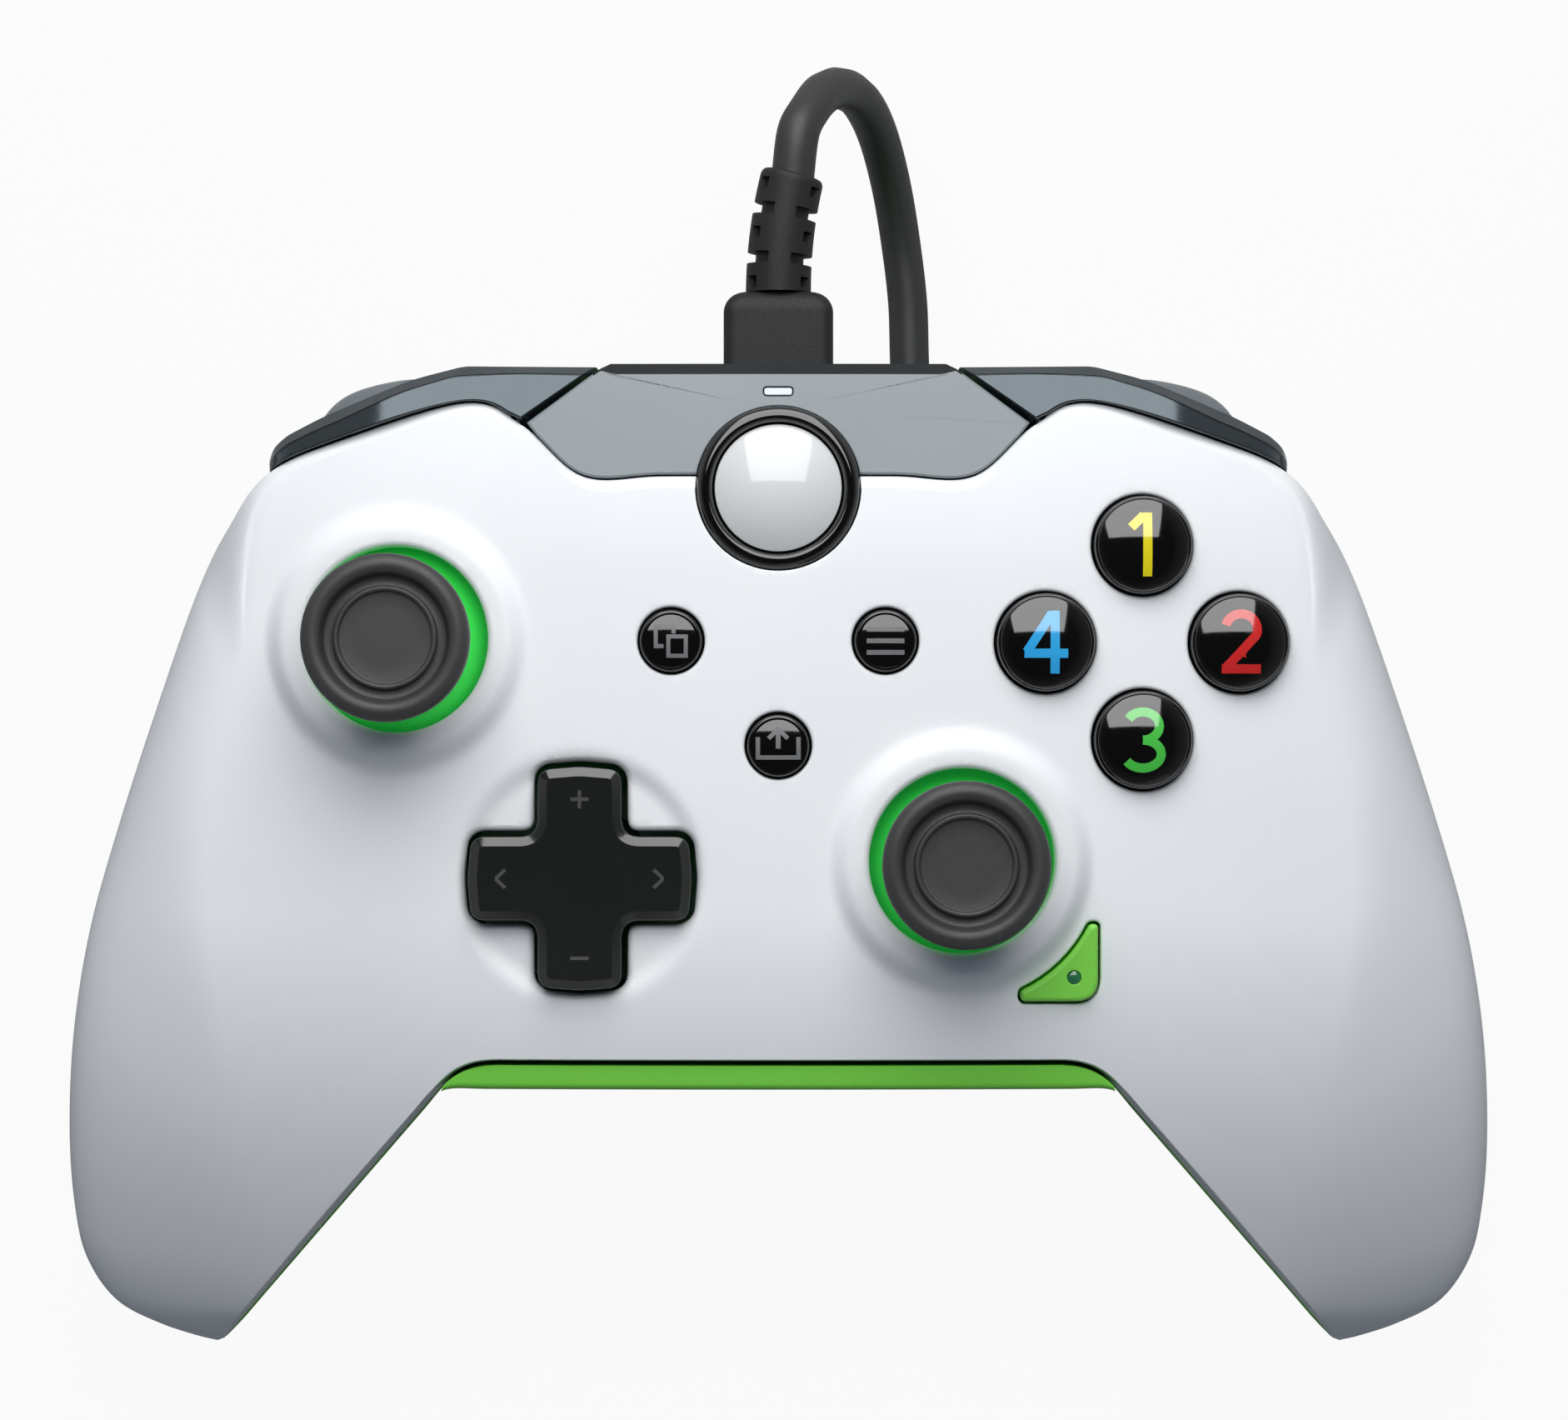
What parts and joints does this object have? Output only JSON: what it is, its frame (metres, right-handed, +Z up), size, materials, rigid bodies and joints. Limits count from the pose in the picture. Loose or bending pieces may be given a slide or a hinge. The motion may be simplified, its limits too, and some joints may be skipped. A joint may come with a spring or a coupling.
{
  "type": "wired gamepad controller",
  "caption": "Wired two-grip gamepad with thumb sticks, direction pad, face buttons, bumpers and triggers, its cable coiled under the case.",
  "frame": {"origin": "on the table, under the middle of the case's box", "axes": "+X to the right grip, +Y to the cable side, +Z up out of the face"},
  "size_m": [0.1526, 0.1397, 0.0594],
  "materials": {
    "white_case": "fine-grained matt moulding",
    "green_case": "satin moulding",
    "grey_cover": "semi-gloss moulding",
    "bumper_gloss": "gloss moulding",
    "trigger_satin": "satin moulding",
    "black_gloss": "polished moulding",
    "home_silver": "satin silver coat",
    "light_lens": "clear lens",
    "function_green": "satin moulding",
    "stick_rubber": "moulded rubber",
    "pad_rubber": "silicone",
    "steel": "turned or plated",
    "board": "solder mask",
    "inner_black": "moulding",
    "cord_rubber": "soft jacket"
  },
  "bodies": {
    "case": {"front_shell": "white_case", "back_shell": "green_case", "bridge": "grey_cover", "home_ring": "black_gloss", "status_light": "light_lens", "button_membrane": "pad_rubber", "dpad_membrane": "pad_rubber", "bumper_pins": "steel", "trigger_pins": "steel", "trigger_springs": "steel", "board_screws": "steel", "shell_screws": "steel", "usb_socket": "steel", "left_rumble_motor": "steel", "right_rumble_motor": "steel", "usb_plug_shell": "steel", "main_board": "board", "trigger_brackets": "inner_black", "tact_switches": "inner_black", "dpad_base": "inner_black", "left_stick_housing": "inner_black", "right_stick_housing": "inner_black", "stick_sensors": "inner_black", "headset_jack": "inner_black", "cable_plug": "cord_rubber", "strain_relief": "cord_rubber", "cord_lead": "cord_rubber", "cord_coil": "cord_rubber", "cord_tail": "cord_rubber", "cord_tie": "cord_rubber", "usb_plug": "cord_rubber"},
    "left_bumper": {"left_bumper": "bumper_gloss"},
    "right_bumper": {"right_bumper": "bumper_gloss"},
    "left_trigger": {"left_trigger": "trigger_satin"},
    "right_trigger": {"right_trigger": "trigger_satin"},
    "home_button": {"home_button": "home_silver"},
    "view_button": {"view_button": "black_gloss"},
    "menu_button": {"menu_button": "black_gloss"},
    "share_button": {"share_button": "black_gloss"},
    "face_button_north": {"face_button_north": "black_gloss"},
    "face_button_west": {"face_button_west": "black_gloss"},
    "face_button_east": {"face_button_east": "black_gloss"},
    "face_button_south": {"face_button_south": "black_gloss"},
    "dpad_rocker": {"dpad_rocker": "steel"},
    "dpad_cross": {"dpad_cross": "black_gloss"},
    "function_button": {"function_button": "function_green", "function_light": "light_lens"},
    "left_stick_yoke": {"left_stick_yoke": "steel"},
    "left_stick_shaft": {"left_stick_shaft": "steel"},
    "left_stick": {"left_stick_cap": "stick_rubber", "left_stick_skirt": "green_case"},
    "right_stick_yoke": {"right_stick_yoke": "steel"},
    "right_stick_shaft": {"right_stick_shaft": "steel"},
    "right_stick": {"right_stick_cap": "stick_rubber", "right_stick_skirt": "green_case"},
    "left_rumble_weight": {"left_rumble_weight": "steel"},
    "right_rumble_weight": {"right_rumble_weight": "steel"}
  },
  "joints": [
    {"name": "left_bumper_press", "type": "hinge", "parent": "case", "child": "left_bumper", "pos_m": [-0.0274, 0.048, 0.04039], "axis": [0, -1, 0], "range_deg": [0, 2.2], "stiffness_Nm_per_rad": 0.1, "springref_deg": -11.46},
    {"name": "right_bumper_press", "type": "hinge", "parent": "case", "child": "right_bumper", "pos_m": [0.0274, 0.048, 0.04039], "axis": [0, 1, 0], "range_deg": [0, 2.2], "stiffness_Nm_per_rad": 0.1, "springref_deg": -11.46},
    {"name": "left_trigger_pull", "type": "hinge", "parent": "case", "child": "left_trigger", "pos_m": [-0.0403, 0.0382, 0.0332], "axis": [-1, 0, 0], "range_deg": [0, 16], "stiffness_Nm_per_rad": 0.04, "springref_deg": -17.19},
    {"name": "right_trigger_pull", "type": "hinge", "parent": "case", "child": "right_trigger", "pos_m": [0.0403, 0.0382, 0.0332], "axis": [-1, 0, 0], "range_deg": [0, 16], "stiffness_Nm_per_rad": 0.04, "springref_deg": -17.19},
    {"name": "home_press", "type": "slide", "parent": "case", "child": "home_button", "axis": [0, 0, -1], "range_m": [0, 0.0006], "stiffness_N_per_m": 150, "springref_m": -0.001},
    {"name": "view_press", "type": "slide", "parent": "case", "child": "view_button", "axis": [0, 0, -1], "range_m": [0, 0.0008], "stiffness_N_per_m": 150, "springref_m": -0.001},
    {"name": "menu_press", "type": "slide", "parent": "case", "child": "menu_button", "axis": [0, 0, -1], "range_m": [0, 0.0008], "stiffness_N_per_m": 150, "springref_m": -0.001},
    {"name": "share_press", "type": "slide", "parent": "case", "child": "share_button", "axis": [0, 0, -1], "range_m": [0, 0.0008], "stiffness_N_per_m": 150, "springref_m": -0.001},
    {"name": "north_press", "type": "slide", "parent": "case", "child": "face_button_north", "axis": [0, 0, -1], "range_m": [0, 0.0012], "stiffness_N_per_m": 150, "springref_m": -0.001},
    {"name": "west_press", "type": "slide", "parent": "case", "child": "face_button_west", "axis": [0, 0, -1], "range_m": [0, 0.0012], "stiffness_N_per_m": 150, "springref_m": -0.001},
    {"name": "east_press", "type": "slide", "parent": "case", "child": "face_button_east", "axis": [0, 0, -1], "range_m": [0, 0.0012], "stiffness_N_per_m": 150, "springref_m": -0.001},
    {"name": "south_press", "type": "slide", "parent": "case", "child": "face_button_south", "axis": [0, 0, -1], "range_m": [0, 0.0012], "stiffness_N_per_m": 150, "springref_m": -0.001},
    {"name": "function_press", "type": "slide", "parent": "case", "child": "function_button", "axis": [0, 0, -1], "range_m": [0, 0.0006], "stiffness_N_per_m": 150, "springref_m": -0.001},
    {"name": "dpad_tilt_fore_aft", "type": "hinge", "parent": "case", "child": "dpad_rocker", "pos_m": [-0.0205, -0.0009, 0.0436], "axis": [1, 0, 0], "range_deg": [-5, 5], "stiffness_Nm_per_rad": 0.05},
    {"name": "dpad_tilt_side", "type": "hinge", "parent": "dpad_rocker", "child": "dpad_cross", "pos_m": [-0.0205, -0.0009, 0.0436], "axis": [0, 1, 0], "range_deg": [-5, 5], "stiffness_Nm_per_rad": 0.05},
    {"name": "left_stick_fore_aft", "type": "hinge", "parent": "case", "child": "left_stick_yoke", "pos_m": [-0.0397, 0.0238, 0.036], "axis": [1, 0, 0], "range_deg": [-17, 17], "stiffness_Nm_per_rad": 0.03},
    {"name": "left_stick_side", "type": "hinge", "parent": "left_stick_yoke", "child": "left_stick_shaft", "pos_m": [-0.0397, 0.0238, 0.036], "axis": [0, 1, 0], "range_deg": [-17, 17], "stiffness_Nm_per_rad": 0.03},
    {"name": "left_stick_click", "type": "slide", "parent": "left_stick_shaft", "child": "left_stick", "axis": [0, 0, -1], "range_m": [0, 0.0005], "stiffness_N_per_m": 400, "springref_m": -0.001},
    {"name": "right_stick_fore_aft", "type": "hinge", "parent": "case", "child": "right_stick_yoke", "pos_m": [0.01905, 0.0008, 0.036], "axis": [1, 0, 0], "range_deg": [-17, 17], "stiffness_Nm_per_rad": 0.03},
    {"name": "right_stick_side", "type": "hinge", "parent": "right_stick_yoke", "child": "right_stick_shaft", "pos_m": [0.01905, 0.0008, 0.036], "axis": [0, 1, 0], "range_deg": [-17, 17], "stiffness_Nm_per_rad": 0.03},
    {"name": "right_stick_click", "type": "slide", "parent": "right_stick_shaft", "child": "right_stick", "axis": [0, 0, -1], "range_m": [0, 0.0005], "stiffness_N_per_m": 400, "springref_m": -0.001},
    {"name": "left_rumble_spin", "type": "hinge", "parent": "case", "child": "left_rumble_weight", "pos_m": [-0.059, -0.02, 0.02], "axis": [0, 0, 1], "continuous": true},
    {"name": "right_rumble_spin", "type": "hinge", "parent": "case", "child": "right_rumble_weight", "pos_m": [0.059, -0.02, 0.02], "axis": [0, 0, 1], "continuous": true}
  ]
}
